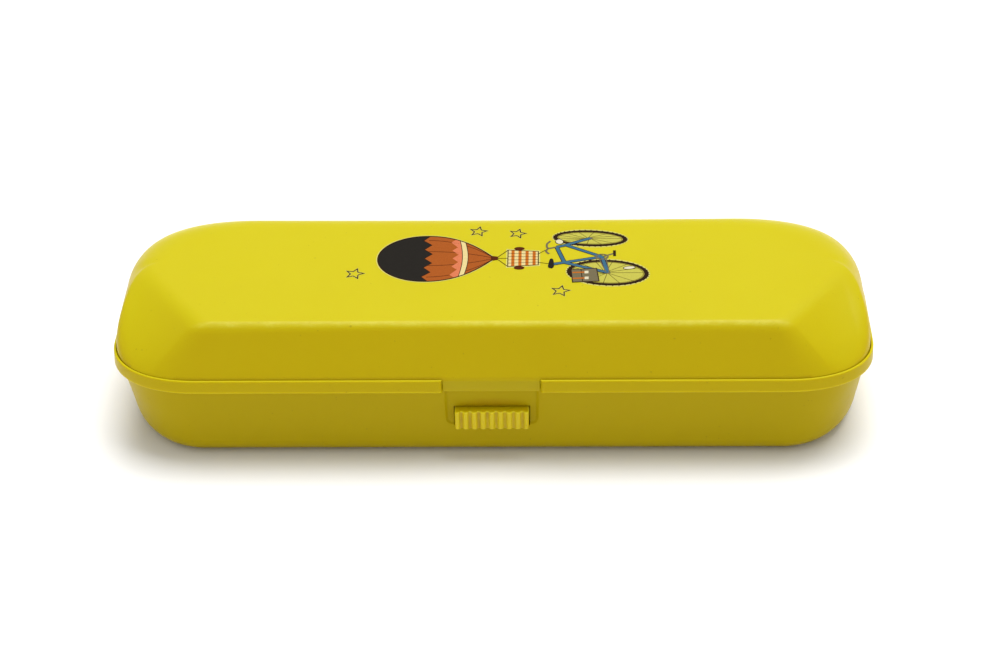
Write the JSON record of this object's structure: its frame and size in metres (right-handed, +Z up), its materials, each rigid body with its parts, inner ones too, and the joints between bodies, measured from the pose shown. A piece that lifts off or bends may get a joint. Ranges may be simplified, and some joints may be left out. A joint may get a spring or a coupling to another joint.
{
  "type": "pencil case",
  "caption": "Long moulded pencil case: shallow tray with a rim band, hinged lid with a sloped front and a front tongue, and a ribbed push-button latch.",
  "frame": {"origin": "centre of the flat underside of the tray", "axes": "+X along the case, +Y from the front with the button to the hinges, +Z up"},
  "size_m": [0.212, 0.0757, 0.04],
  "materials": {
    "case_plastic": "semi-gloss moulded polypropylene, fine grain",
    "button_plastic": "semi-gloss moulded polypropylene",
    "steel": "drawn wire"
  },
  "bodies": {
    "base": {"base_tray": "case_plastic", "latch_cover": "case_plastic", "latch_spring": "steel", "hinge_pin_left": "steel", "hinge_pin_right": "steel"},
    "lid": {"lid": "case_plastic"},
    "latch": {"latch_button": "button_plastic"}
  },
  "joints": [
    {"name": "lid_hinge", "type": "hinge", "parent": "base", "child": "lid", "pos_m": [0, 0.0372, 0.0276], "axis": [-1, 0, 0], "range_deg": [0, 175]},
    {"name": "latch_press", "type": "slide", "parent": "base", "child": "latch", "axis": [0, 1, 0], "range_m": [0, 0.0016], "stiffness_N_per_m": 500, "springref_m": -0.004, "deforming": ["latch_spring"]}
  ]
}
